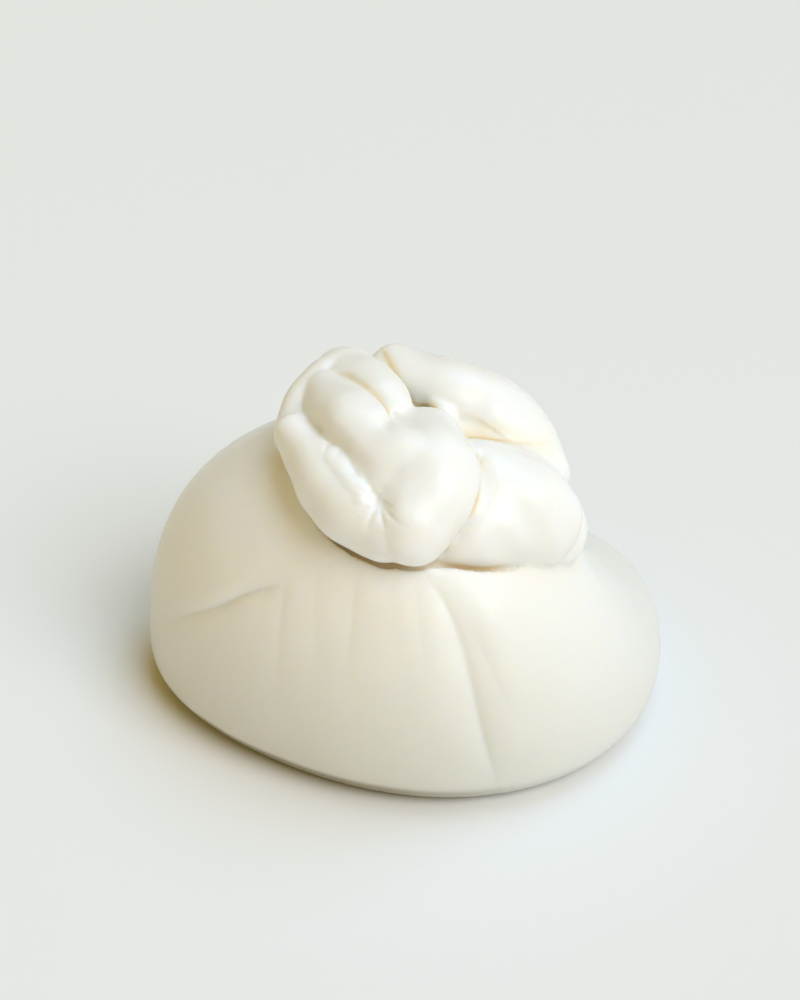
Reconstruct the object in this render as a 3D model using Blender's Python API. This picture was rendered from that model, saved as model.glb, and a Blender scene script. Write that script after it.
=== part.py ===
"""Burrata: a pouch of stretched curd, filled, gathered at the neck and folded over into a knot.

The cheese is one skin all round, so it is one closed solid.  Metres, +Z up.  It rests on a
flat foot at z = 0, centred under the origin.  The knot lolls to the front (-Y), and the long
way of the pouch is X.

The pouch is a ring mesh worked out from a few sizes, and each fold of the knot is an oval
section swept along a short line of stations.  A voxel remesh fuses them into one skin.  The
broad hollows of the knot are plumped up, creases are pressed in, and the skin is cut level at
the foot and thinned.
"""

import math

import bmesh
import bpy
import numpy as np
from mathutils import Vector

# Every size below is in millimetres, and MM turns it into metres.
MM = 0.001

# ------------------------------------------------------------------ driving dimensions: the pouch

# A slack dome, fuller on its left side than on its right, with soft corners.
POUCH_HALF_LENGTH = 45.0        # along X, at the belly
POUCH_HALF_WIDTH = 40.0         # along Y, at the belly
BELLY_HEIGHT = 6.2              # height of the widest ring above the table
CROWN_HEIGHT = 52.0             # where the dome would close if it had no neck
POUCH_SHIFT = 3.1               # how far the belly's middle lies to the right of the neck
POUCH_BACK = 1.9                # and how far behind it
FOOT_SHARE = 0.90               # reach of the foot as a share of the belly's
FOOT_TUCK = math.radians(60)    # how far the side has curled under where it meets the table
CORNER_SHARE = 0.048            # how far the plan leans from an oval to a soft triangle
CORNER_TURN = math.radians(-6)  # how far that triangle is turned from the X axis

# Exponents of the side's curve: how round the belly is, then how full the shoulder.
LEFT_ROUNDNESS = 2.35
RIGHT_ROUNDNESS = 1.46
LEFT_FULLNESS = 2.43
RIGHT_FULLNESS = 0.72
FRONT_FULLNESS = 0.98           # added at the front, taken away at the back

# Where the knot presses on the pouch, the skin is drawn down beside it into a narrow crevice.
CREVICE_DEPTH = 3.5
CREVICE_WIDTH = 1.2
BACK_WAY = (0.64, 0.77)         # towards here, at the back, the pouch runs up into the neck instead
BACK_FADE = 0.35                # share of the back way at which the crevice has faded out

# ------------------------------------------------------------------ driving dimensions: the knot

# Thick folds of the gathered neck.  A station is (x, y, z, half width, half thickness),
# measured from the point of the table under the neck.
FOLDS = {
    "heart": ((-6.0, 0.0, 47.0, 8.0, 7.0), (3.0, -6.0, 44.0, 15.0, 8.0),
              (15.0, -5.0, 42.0, 12.0, 9.0)),
    "bulb": ((3.9, -11.7, 52.8, 6.8, 7.0), (4.6, -19.7, 52.3, 8.0, 7.5),
             (1.8, -24.8, 48.0, 7.4, 7.2)),
    "bridge": ((-4.6, -16.5, 54.2, 6.4, 6.2), (0.2, -18.6, 53.9, 6.8, 6.5),
               (4.6, -19.7, 52.6, 7.4, 7.0)),
    "brow": ((-11.6, -2.0, 56.8, 4.6, 4.8), (-9.4, -7.5, 56.6, 5.8, 5.4),
             (-6.2, -13.2, 56.3, 6.2, 5.8), (-1.8, -20.2, 52.4, 5.6, 5.6)),
    "cheek": ((-10.5, -1.5, 55.5, 5.0, 4.5), (-11.0, -7.0, 51.5, 5.0, 4.5)),
    "flap": ((-16.8, -8.6, 53.8, 3.4, 4.2), (-13.0, -15.2, 51.8, 4.8, 5.3),
             (-8.3, -21.6, 49.0, 6.2, 6.0), (-1.9, -25.0, 47.0, 6.0, 6.2)),
    "lip": ((-17.5, -8.7, 53.2, 3.0, 3.0), (-13.6, -12.8, 53.8, 3.4, 3.4),
            (-10.6, -17.0, 54.0, 3.4, 3.4), (-8.0, -20.8, 53.2, 3.4, 3.4),
            (-5.2, -24.6, 51.8, 3.2, 3.2)),
    "left band": ((-8.5, 4.3, 58.0, 4.5, 4.0), (-12.0, 1.2, 57.2, 4.0, 4.5),
                  (-14.8, -2.2, 55.2, 3.4, 4.5), (-16.8, -6.0, 53.0, 3.4, 4.0)),
    "tongue": ((-9.4, 3.6, 57.4, 5.8, 4.6), (-6.8, -1.4, 58.2, 6.0, 4.4),
               (-3.8, -5.6, 58.7, 5.0, 3.8), (-0.6, -8.8, 58.4, 2.8, 3.0)),
    "back band": ((-1.0, 8.5, 55.0, 4.5, 5.0), (6.6, 4.5, 54.6, 7.0, 5.5),
                  (14.6, 2.0, 51.9, 7.0, 6.0), (20.3, -1.5, 48.6, 5.8, 5.5),
                  (22.8, -6.0, 44.5, 5.2, 5.5)),
    "face": ((7.5, -1.0, 49.5, 5.0, 4.5), (13.5, -1.8, 49.6, 4.8, 4.2),
             (19.0, -3.8, 47.6, 4.6, 4.2)),
    "pinch": ((5.8, -1.6, 55.2, 1.8, 2.0), (7.2, -3.4, 54.0, 2.2, 2.2)),
    "right lobe": ((13.0, -14.0, 45.5, 9.0, 8.0), (18.3, -13.8, 43.5, 9.3, 8.8),
                   (21.5, -13.6, 40.6, 8.2, 8.2)),
    "root": ((13.0, -14.0, 38.0, 6.0, 6.0), (19.0, -14.5, 38.5, 7.0, 6.5),
             (24.5, -11.5, 37.0, 6.5, 6.0)),
    "chin": ((7.5, -19.4, 43.0, 6.8, 6.8), (12.6, -18.8, 42.6, 7.1, 7.0),
             (18.0, -16.0, 41.2, 7.2, 7.2)),
    "back left": ((-12.0, 1.0, 48.0, 6.5, 6.0), (-6.0, 8.0, 47.5, 8.0, 7.0),
                  (2.5, 10.5, 46.5, 7.5, 7.0)),
    "back right": ((3.0, 11.5, 45.5, 8.0, 7.0), (12.0, 8.5, 43.0, 8.5, 7.5),
                   (18.5, 2.5, 39.5, 7.5, 7.0)),
    "neck": ((-10.0, 3.0, 40.0, 10.0, 8.0), (2.0, 9.0, 40.0, 12.0, 8.0),
             (14.0, 5.0, 37.0, 11.0, 8.0)),
}
KNOT_HEART = (4.0, -5.0, 30.0)  # the point that every fold faces away from

# Creases pressed into the fused skin: the reach of the left and the right flank, as seen by
# someone walking along it on the outside, and its stations.

# On the pouch a station is (direction in degrees, level up the side, depth).
POUCH_CREASES = {
    "front crease": (6.0, 8.0, ((274.5, 0.48, 0.4), (277.5, 0.42, 0.8), (280.0, 0.33, 1.0),
                                (282.5, 0.16, 1.0), (284.0, 0.07, 0.8), (285.5, 0.0, 0.4))),
    "second crease": (5.0, 7.0, ((279.0, 0.42, 0.0), (284.0, 0.33, 0.4), (287.0, 0.23, 0.3),
                                 (291.0, 0.12, 0.0))),
    "left crease": (3.0, 4.5, ((195.0, 0.14, 0.0), (207.5, 0.24, 0.5), (215.5, 0.3, 0.9),
                               (223.0, 0.37, 0.9), (231.0, 0.42, 0.3))),
}

# On the knot a station is (x, y, z, depth).  A negative depth raises a ridge.
KNOT_CREASES = {
    "seam": (1.8, 3.6, ((-1.5, -29.5, 50.0, 0.1), (-3.0, -27.4, 52.7, 0.6),
                        (-6.2, -24.3, 55.4, 0.9), (-9.6, -18.8, 57.5, 1.1),
                        (-11.9, -16.2, 57.6, 1.3), (-14.0, -12.8, 57.4, 0.6))),
    "left valley": (2.5, 2.5, ((-14.0, -4.5, 58.8, 0.0), (-14.7, -8.0, 57.6, 0.5),
                               (-14.2, -11.0, 57.4, 0.8), (-13.0, -13.2, 57.4, 0.7))),
    "tongue crease": (1.6, 1.4, ((-11.0, -1.5, 61.5, 0.0), (-8.1, -4.0, 61.8, 0.6),
                                 (-4.4, -8.6, 61.0, 1.2), (-2.2, -12.2, 60.0, 1.8),
                                 (-1.1, -12.8, 59.8, 1.6))),
    "heart notch": (2.0, 2.0, ((-1.1, -12.6, 59.8, 0.4), (-2.0, -15.5, 60.5, 0.5),
                               (-1.7, -19.7, 60.2, 0.0))),
    "gap": (1.5, 2.5, ((-2.0, 8.0, 58.5, 0.8), (1.3, 3.3, 56.4, 1.2), (3.9, -0.7, 54.6, 1.8),
                       (4.6, -4.0, 55.0, 2.0))),
    "band crease": (1.6, 1.6, ((8.5, -7.6, 50.6, 1.4), (13.6, -6.8, 50.4, 1.4),
                               (18.1, -6.6, 50.2, 1.2), (24.0, -5.6, 50.0, 0.3))),
    "bulb edge": (3.0, 1.2, ((12.7, -15.5, 53.6, 1.0), (13.2, -20.0, 51.5, 1.2),
                             (10.1, -25.6, 46.1, 1.7), (6.5, -25.8, 41.5, 1.4))),
    "lobe swell": (4.0, 4.0, ((12.6, -21.5, 48.6, -0.2), (14.6, -21.9, 48.0, -0.6),
                              (17.6, -22.9, 45.4, -0.9), (20.0, -22.6, 41.6, -0.9),
                              (21.2, -21.6, 38.6, -0.4))),
    "band ridge": (6.0, 3.0, ((7.0, -4.2, 56.6, -0.4), (13.3, -6.0, 54.6, -0.8),
                              (17.5, -7.3, 52.6, -0.5), (20.5, -8.4, 51.0, 0.0))),
}

# ------------------------------------------------------------------ fineness

AZIMUTH_STEPS = 240
HEIGHT_STEPS = 100
FOLD_STEPS = 24
FOLD_SIDES = 40
END_TURNS = (15, 35, 55, 75)    # degrees round the rounded end of a fold
LOOK_AHEAD = 0.01               # share of a fold over which its heading is measured
CREASE_STEPS = 60

VOXEL = 0.5                     # grid on which the skin is fused
SOFTEN_ROUNDS = 5
NORMAL_ROUNDS = 10
HOLLOW_ROUNDS = 3
FILL_ROUNDS = 80                # how wide the hollows of the knot are that the soft curd fills
FILL_GAIN = 0.6                 # how full they become
VALLEY_ROUNDS = 10              # how wide the valleys are that sink further
KNOT_GAIN = 1.0                 # how much further they sink on the knot
CREVICE_GAIN = 1.5              # and in the crevice round it
KNOT_MARGIN = 3.0               # height above the pouch from which the skin counts as the knot's
SKIN_TRIANGLES = 8200           # after thinning, before the foot is closed

SKIN_COLOUR = (0.86, 0.82, 0.70, 1.0)
SKIN_ROUGHNESS = 0.35


# ------------------------------------------------------------------ curves


def eased(share):
    """Share kept within 0 and 1, with a soft start and a soft end."""
    share = np.clip(share, 0.0, 1.0)
    return share * share * (3.0 - 2.0 * share)


def along(stations, share):
    """Catmull-Rom curve through the stations, at a share of the way from the first to the last."""
    spans = len(stations) - 1
    span = min(int(share * spans), spans - 1)
    t = share * spans - span
    before, start, end, after = [
        np.array(stations[min(max(span + step, 0), spans)]) for step in (-1, 0, 1, 2)
    ]
    return 0.5 * (
        2 * start
        + (end - before) * t
        + (2 * before - 5 * start + 4 * end - after) * t ** 2
        + (3 * start - before - 3 * end + after) * t ** 3
    )


def skin_rings(bm, rings, first_pole, last_pole):
    """Closed skin through rings of points, with a pole at each end."""
    rows = [[bm.verts.new(point * MM) for point in ring] for ring in rings]
    first = bm.verts.new(first_pole * MM)
    last = bm.verts.new(last_pole * MM)
    count = len(rows[0])
    for index in range(count):
        following = (index + 1) % count
        bm.faces.new((first, rows[0][following], rows[0][index]))
        bm.faces.new((last, rows[-1][index], rows[-1][following]))
        for lower, upper in zip(rows, rows[1:]):
            bm.faces.new((lower[index], lower[following], upper[following], upper[index]))


# ------------------------------------------------------------------ the pouch


def between(left, right, azimuth):
    """Value that is left at azimuth 180 degrees, right at 0, and eases between them."""
    return (left + right) / 2 + (right - left) / 2 * np.cos(azimuth)


def side_curve(azimuth):
    """Roundness of the belly, fullness of the shoulder and reach of the plan in one direction."""
    roundness = between(LEFT_ROUNDNESS, RIGHT_ROUNDNESS, azimuth)
    fullness = between(LEFT_FULLNESS, RIGHT_FULLNESS, azimuth) - FRONT_FULLNESS * np.sin(azimuth)
    return roundness, fullness, 1.0 - CORNER_SHARE * np.cos(3 * (azimuth - CORNER_TURN))


def pouch_point(azimuth, level):
    """Point of the skin; level runs from -1 (below the foot) through 0 (belly) to 1 (crown)."""
    roundness, fullness, plan = side_curve(azimuth)
    if level >= 0.0:
        rise = math.sin(level * math.pi / 2)
        reach = max(0.0, 1.0 - rise ** roundness) ** (1.0 / fullness)
        height = BELLY_HEIGHT + (CROWN_HEIGHT - BELLY_HEIGHT) * rise
    else:
        tuck = -level * math.pi / 2
        reach = 1.0 - (1.0 - FOOT_SHARE) * (1.0 - math.cos(tuck)) / (1.0 - math.cos(FOOT_TUCK))
        height = BELLY_HEIGHT * (1.0 - math.sin(tuck) / math.sin(FOOT_TUCK))
    x = POUCH_SHIFT + POUCH_HALF_LENGTH * reach * plan * math.cos(azimuth)
    y = POUCH_BACK + POUCH_HALF_WIDTH * reach * plan * math.sin(azimuth)
    return x, y, height


def above_pouch(points):
    """How far points, in metres, lie above the pouch's shoulder, in millimetres."""
    x, y, z = (points / MM).T
    across = (x - POUCH_SHIFT) / POUCH_HALF_LENGTH
    deep = (y - POUCH_BACK) / POUCH_HALF_WIDTH
    roundness, fullness, plan = side_curve(np.arctan2(deep, across))
    reach = np.clip(np.hypot(across, deep) / plan, 0.0, 1.0)
    rise = (1.0 - reach ** fullness) ** (1.0 / roundness)
    return z - BELLY_HEIGHT - (CROWN_HEIGHT - BELLY_HEIGHT) * rise


def drawn_down(points):
    """The pouch's points, lowered beside and under the folds, except at the back."""
    room = np.full(len(points), CREVICE_WIDTH)
    for stations in FOLDS.values():
        for step in range(FOLD_STEPS + 1):
            *place, width, thickness = along(stations, step / FOLD_STEPS)
            apart = np.linalg.norm(points - place, axis=1) - (width + thickness) / 2
            room = np.minimum(room, apart)
    around = points[:, :2] - KNOT_HEART[:2]
    backward = around @ np.array(BACK_WAY) / np.maximum(np.linalg.norm(around, axis=1), 1.0)
    depth = CREVICE_DEPTH * eased(1.0 - room / CREVICE_WIDTH) * eased(BACK_FADE - backward)
    return points - np.outer(depth, (0.0, 0.0, 1.0))


def add_pouch(bm):
    levels = [step / HEIGHT_STEPS for step in range(-HEIGHT_STEPS, HEIGHT_STEPS + 1)]
    azimuths = [2 * math.pi * step / AZIMUTH_STEPS for step in range(AZIMUTH_STEPS)]
    points = np.array([pouch_point(azimuth, level) for level in levels for azimuth in azimuths])
    points = drawn_down(points)
    rings = points.reshape(len(levels), AZIMUTH_STEPS, 3)
    rings = [[Vector(point) for point in ring] for ring in rings]
    bottom = Vector((POUCH_SHIFT, POUCH_BACK, rings[0][0].z))
    skin_rings(bm, rings[:-1], bottom, rings[-1][0])


# ------------------------------------------------------------------ the folds of the knot


def oval(centre, sideways, outward, width, thickness):
    points = []
    for side in range(FOLD_SIDES):
        angle = 2 * math.pi * side / FOLD_SIDES
        across = sideways * (width * math.cos(angle))
        points.append(centre + across + outward * (thickness * math.sin(angle)))
    return points


def fold_frame(stations, share):
    """Centre, heading, sideways, outward and half sizes of a fold at a share of its way."""
    x, y, z, width, thickness = along(stations, share)
    ahead = along(stations, min(share + LOOK_AHEAD, 1.0))
    behind = along(stations, max(share - LOOK_AHEAD, 0.0))
    centre = Vector((x, y, z))
    tangent = Vector((ahead - behind)[:3]).normalized()
    sideways = tangent.cross(centre - Vector(KNOT_HEART)).normalized()
    return centre, tangent, sideways, sideways.cross(tangent), width, thickness


def rounded_end(stations, share, way):
    """Sections that round off a fold's end, outwards, and the pole that closes them."""
    centre, tangent, sideways, outward, width, thickness = fold_frame(stations, share)
    sections = []
    for turn in map(math.radians, END_TURNS):
        place = centre + tangent * (way * width * math.sin(turn))
        shrink = math.cos(turn)
        sections.append(oval(place, sideways, outward, width * shrink, thickness * shrink))
    return sections, centre + tangent * (way * width)


def add_fold(bm, stations):
    """A plump fold: an oval section swept along its stations and rounded off at both ends."""
    tail, tail_pole = rounded_end(stations, 0.0, -1.0)
    tip, tip_pole = rounded_end(stations, 1.0, 1.0)
    middle = []
    for step in range(FOLD_STEPS + 1):
        centre, _, sideways, outward, width, thickness = fold_frame(stations, step / FOLD_STEPS)
        middle.append(oval(centre, sideways, outward, width, thickness))
    skin_rings(bm, [*reversed(tail), *middle, *tip], tail_pole, tip_pole)


# ------------------------------------------------------------------ one skin


def bake(body):
    """Turn the object's modifiers into its mesh."""
    graph = bpy.context.evaluated_depsgraph_get()
    baked = bpy.data.meshes.new_from_object(body.evaluated_get(graph))
    body.modifiers.clear()
    body.data = baked


def fused_skin(name):
    """The pouch and the folds, fused by a voxel remesh into one soft skin."""
    bm = bmesh.new()
    add_pouch(bm)
    for stations in FOLDS.values():
        add_fold(bm, stations)
    bmesh.ops.recalc_face_normals(bm, faces=bm.faces)
    mesh = bpy.data.meshes.new(name)
    bm.to_mesh(mesh)
    bm.free()
    body = bpy.data.objects.new(name, mesh)
    bpy.context.scene.collection.objects.link(body)
    fuse = body.modifiers.new("fuse", "REMESH")
    fuse.mode = "VOXEL"
    fuse.voxel_size = VOXEL * MM
    soften = body.modifiers.new("soften", "SMOOTH")
    soften.factor = 0.5
    soften.iterations = SOFTEN_ROUNDS
    bake(body)
    return body


def relaxed(values, edges, rounds):
    """Values of the points after each has taken the mean of its neighbours, several times over."""
    first, second = edges[:, 0], edges[:, 1]
    count = len(values)
    neighbours = np.bincount(first, minlength=count) + np.bincount(second, minlength=count)
    for _ in range(rounds):
        total = np.empty_like(values)
        for column in range(values.shape[1]):
            total[:, column] = np.bincount(first, values[second, column], count)
            total[:, column] += np.bincount(second, values[first, column], count)
        values = total / neighbours[:, None]
    return values


def read_skin(mesh):
    """Points, edges and evened normals of a mesh."""
    points = np.empty(len(mesh.vertices) * 3)
    normals = np.empty(len(mesh.vertices) * 3)
    edges = np.empty(len(mesh.edges) * 2, dtype=np.int32)
    mesh.vertices.foreach_get("co", points)
    mesh.vertices.foreach_get("normal", normals)
    mesh.edges.foreach_get("vertices", edges)
    edges = edges.reshape(-1, 2)
    normals = relaxed(normals.reshape(-1, 3), edges, NORMAL_ROUNDS)
    normals /= np.linalg.norm(normals, axis=1, keepdims=True)
    return points.reshape(-1, 3), edges, normals


def write_skin(mesh, points):
    mesh.vertices.foreach_set("co", points.ravel())
    mesh.update()


# ------------------------------------------------------------------ hollows and creases


def on_knot(points):
    """1 on the knot, 0 on the pouch and in the crevice between them."""
    return eased(above_pouch(points) / KNOT_MARGIN)[:, None]


def below(points, edges, normals, rounds):
    """Depth of each point above the belly below a smoothed copy of the skin, as a negative length."""
    offset = points - relaxed(points, edges, rounds)
    depth = np.minimum(np.sum(offset * normals, axis=1), 0.0)
    depth[points[:, 2] < BELLY_HEIGHT * MM] = 0.0
    return relaxed(depth[:, None], edges, HOLLOW_ROUNDS)


def fill_hollows(body):
    """Plump up the broad hollows of the knot, as soft curd has filled them."""
    points, edges, normals = read_skin(body.data)
    depth = below(points, edges, normals, FILL_ROUNDS) * on_knot(points)
    write_skin(body.data, points - normals * depth * FILL_GAIN)


def deepen_valleys(body):
    """Sink every narrow valley, as curd that has sagged against its neighbour."""
    points, edges, normals = read_skin(body.data)
    knot = on_knot(points)
    gain = KNOT_GAIN * knot + CREVICE_GAIN * (1.0 - knot)
    write_skin(body.data, points + normals * below(points, edges, normals, VALLEY_ROUNDS) * gain)


def press(points, normals, crease):
    """Points once a crease is pressed in: deepest on its line, rounded on both flanks."""
    left, right, stations = crease
    line = np.array([along(stations, step / CREASE_STEPS) for step in range(CREASE_STEPS + 1)])
    places = line[:, :3] * MM
    heading = np.gradient(places, axis=0)
    heading /= np.linalg.norm(heading, axis=1, keepdims=True)
    apart = np.linalg.norm(points[:, None, :] - places[None, :, :], axis=2)
    nearest = apart.argmin(axis=1)
    offset = points - places[nearest]
    beside = offset - heading[nearest] * np.sum(offset * heading[nearest], axis=1, keepdims=True)
    inside = (nearest > 0) & (nearest < CREASE_STEPS)
    distance = np.where(inside, np.linalg.norm(beside, axis=1), apart.min(axis=1))
    rightward = np.sum(np.cross(heading[nearest], normals) * offset, axis=1) > 0
    reach = np.where(rightward, right, left) * MM
    share = np.clip(1.0 - distance / reach, 0.0, 1.0)
    depth = line[nearest, 3] * MM * share ** 2
    return points - normals * depth[:, None]


def on_pouch(stations):
    """Stations (x, y, z, depth) of a crease that is given by direction, level and depth."""
    return [(*pouch_point(math.radians(turn), level), depth) for turn, level, depth in stations]


def crease_skin(body):
    creases = [(left, right, on_pouch(path)) for left, right, path in POUCH_CREASES.values()]
    for crease in (*creases, *KNOT_CREASES.values()):
        points, _, normals = read_skin(body.data)
        write_skin(body.data, press(points, normals, crease))


# ------------------------------------------------------------------ finishing


def cut_foot(body):
    """Cut the skin level with the table and centre it on the origin."""
    bm = bmesh.new()
    bm.from_mesh(body.data)
    everything = [*bm.verts, *bm.edges, *bm.faces]
    bmesh.ops.bisect_plane(
        bm, geom=everything, plane_co=(0, 0, 0), plane_no=(0, 0, 1), clear_inner=True
    )
    corners = [vert.co for vert in bm.verts]
    middle = Vector((0.0, 0.0, 0.0))
    middle.x = (min(co.x for co in corners) + max(co.x for co in corners)) / 2
    middle.y = (min(co.y for co in corners) + max(co.y for co in corners)) / 2
    bmesh.ops.translate(bm, verts=bm.verts, vec=-middle)
    bm.to_mesh(body.data)
    bm.free()
    return middle


def thin(body):
    """Fewer triangles, kept where the skin bends most."""
    collapse = body.modifiers.new("thin", "DECIMATE")
    collapse.ratio = SKIN_TRIANGLES / (2 * len(body.data.polygons))
    bake(body)


def close_foot(body):
    """Close the cut with a flat foot."""
    bm = bmesh.new()
    bm.from_mesh(body.data)
    rim = [edge for edge in bm.edges if edge.is_boundary]
    for edge in rim:
        for vert in edge.verts:
            vert.co.z = 0.0
    bmesh.ops.holes_fill(bm, edges=rim)
    bmesh.ops.triangulate(bm, faces=bm.faces)
    loose = [vert for vert in bm.verts if not vert.link_faces]
    bmesh.ops.delete(bm, geom=loose, context="VERTS")
    bm.to_mesh(body.data)
    bm.free()


def skin_material():
    material = bpy.data.materials.new("burrata skin")
    material.use_nodes = True
    shader = material.node_tree.nodes["Principled BSDF"]
    shader.inputs["Base Color"].default_value = SKIN_COLOUR
    shader.inputs["Roughness"].default_value = SKIN_ROUGHNESS
    shader.inputs["Metallic"].default_value = 0.0
    return material


def make_burrata():
    body = fused_skin("burrata")
    fill_hollows(body)
    crease_skin(body)
    deepen_valleys(body)
    middle = cut_foot(body)
    thin(body)
    close_foot(body)
    body.data.materials.clear()
    body.data.materials.append(skin_material())
    body.data.shade_smooth()
    return body, middle


for item in list(bpy.data.objects):
    bpy.data.objects.remove(item, do_unlink=True)
burrata, burrata_middle = make_burrata()
size = burrata.dimensions / MM
print(f"burrata, mm: {size.x:.1f} x {size.y:.1f} x {size.z:.1f}")
print("triangles:", len(burrata.data.polygons))
print("middle of the pouch before centring, mm:", [round(value / MM, 2) for value in burrata_middle])
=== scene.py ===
# %% [markdown]
# # A burrata
#
# A burrata is a pouch of stretched curd, filled with cream and shreds of curd, whose neck is
# gathered, twisted and folded over on top. Nothing on it is sharp or straight: the skin is one
# wet, slightly slack sheet, so every form below is made separately and then fused into one skin.
#
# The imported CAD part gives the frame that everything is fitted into.

import math
import random

import bmesh
import bpy
import numpy as np
from mathutils import Matrix, Quaternion, Vector, noise
from mathutils.bvhtree import BVHTree


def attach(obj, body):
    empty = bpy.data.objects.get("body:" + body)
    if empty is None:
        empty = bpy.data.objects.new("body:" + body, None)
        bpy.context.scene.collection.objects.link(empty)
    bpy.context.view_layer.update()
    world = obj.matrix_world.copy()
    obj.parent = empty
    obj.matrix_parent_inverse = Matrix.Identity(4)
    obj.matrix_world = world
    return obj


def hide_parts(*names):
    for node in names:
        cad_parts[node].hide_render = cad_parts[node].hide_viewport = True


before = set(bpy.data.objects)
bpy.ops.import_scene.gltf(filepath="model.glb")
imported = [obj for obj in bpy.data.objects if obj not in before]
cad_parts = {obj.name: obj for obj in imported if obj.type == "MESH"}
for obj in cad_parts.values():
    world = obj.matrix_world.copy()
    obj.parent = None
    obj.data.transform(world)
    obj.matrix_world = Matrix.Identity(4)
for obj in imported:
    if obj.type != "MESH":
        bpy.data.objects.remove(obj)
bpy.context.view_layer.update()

# Sizes below are in millimetres on the real cheese.
MM = 0.001

# %% [markdown]
# ## The pouch
#
# The filled pouch slumps under its own weight: a flat foot, a low round belly, and a shoulder
# that climbs to the neck. It could be sculpted, or lathed from one profile, but a lathe would make
# every side the same, and this one bulges on its left side and slopes away on its right. So the
# side's curve is a formula with two exponents, one for the roundness of the belly and one for the
# fullness of the shoulder, and both change smoothly with the direction round the pouch.

# %% Side curve of the pouch
POUCH_HALF_LENGTH = 45.0
POUCH_HALF_WIDTH = 40.0
BELLY_HEIGHT = 6.2
CROWN_HEIGHT = 52.0

# How far the pouch's middle lies to the right of the origin, and behind it.
POUCH_SHIFT = 3.1
POUCH_BACK = 1.9

# Reach of the foot as a share of the belly's, and how far round its curve has turned there.
FOOT_SHARE = 0.90
FOOT_TUCK = math.radians(60)

# The plan is an oval with three faint corners.
CORNER_SHARE = 0.048
CORNER_TURN = math.radians(-6)

# Exponents of the side's curve on the left, on the right and at the front.
LEFT_ROUNDNESS = 2.35
RIGHT_ROUNDNESS = 1.46
LEFT_FULLNESS = 2.43
RIGHT_FULLNESS = 0.72
FRONT_FULLNESS = 0.98


def between(left, right, azimuth):
    """Value that is left at azimuth 180 degrees and right at 0, and eases between them."""
    return (left + right) / 2 + (right - left) / 2 * np.cos(azimuth)


def side_curve(azimuth):
    """Roundness of the belly, fullness of the shoulder and reach of the plan in one direction."""
    roundness = between(LEFT_ROUNDNESS, RIGHT_ROUNDNESS, azimuth)
    fullness = between(LEFT_FULLNESS, RIGHT_FULLNESS, azimuth) - FRONT_FULLNESS * np.sin(azimuth)
    return roundness, fullness, 1.0 - CORNER_SHARE * np.cos(3 * (azimuth - CORNER_TURN))


# %% [markdown]
# One function gives a point of the skin for a direction and a level. A second one turns it round:
# it says how far any point in space lies above the shoulder. That is how the later steps tell the
# knot from the pouch.

# %% Points of the pouch
def pouch_point(azimuth, level):
    """Point of the skin; level runs from -1 (below the foot) through 0 (belly) to 1 (crown)."""
    roundness, fullness, plan = side_curve(azimuth)
    if level >= 0.0:
        rise = math.sin(level * math.pi / 2)
        reach = max(0.0, 1.0 - rise ** roundness) ** (1.0 / fullness)
        height = BELLY_HEIGHT + (CROWN_HEIGHT - BELLY_HEIGHT) * rise
    else:
        tuck = -level * math.pi / 2
        reach = 1.0 - (1.0 - FOOT_SHARE) * (1.0 - math.cos(tuck)) / (1.0 - math.cos(FOOT_TUCK))
        height = BELLY_HEIGHT * (1.0 - math.sin(tuck) / math.sin(FOOT_TUCK))
    x = POUCH_SHIFT + POUCH_HALF_LENGTH * reach * plan * math.cos(azimuth)
    y = POUCH_BACK + POUCH_HALF_WIDTH * reach * plan * math.sin(azimuth)
    return x, y, height


def above_pouch(points):
    """How far points, in metres, lie above the pouch's shoulder, in millimetres."""
    x, y, z = (points / MM).T
    across = (x - POUCH_SHIFT) / POUCH_HALF_LENGTH
    deep = (y - POUCH_BACK) / POUCH_HALF_WIDTH
    roundness, fullness, plan = side_curve(np.arctan2(deep, across))
    reach = np.clip(np.hypot(across, deep) / plan, 0.0, 1.0)
    rise = (1.0 - reach ** fullness) ** (1.0 / roundness)
    return z - BELLY_HEIGHT - (CROWN_HEIGHT - BELLY_HEIGHT) * rise


print("front of the shoulder, mm:", [round(v, 1) for v in pouch_point(math.radians(250), 0.6)])

# %% [markdown]
# ## The folds of the knot
#
# The neck of the pouch is a rope of curd, laid over itself while it was still warm. Each fold is
# plump, wider than it is thick, and swells and thins along its way. A curve with a round bevel
# would give it one section all along, so each fold is described by a few stations instead: a place,
# a half width and a half thickness. A Catmull-Rom curve runs through them.

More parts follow.
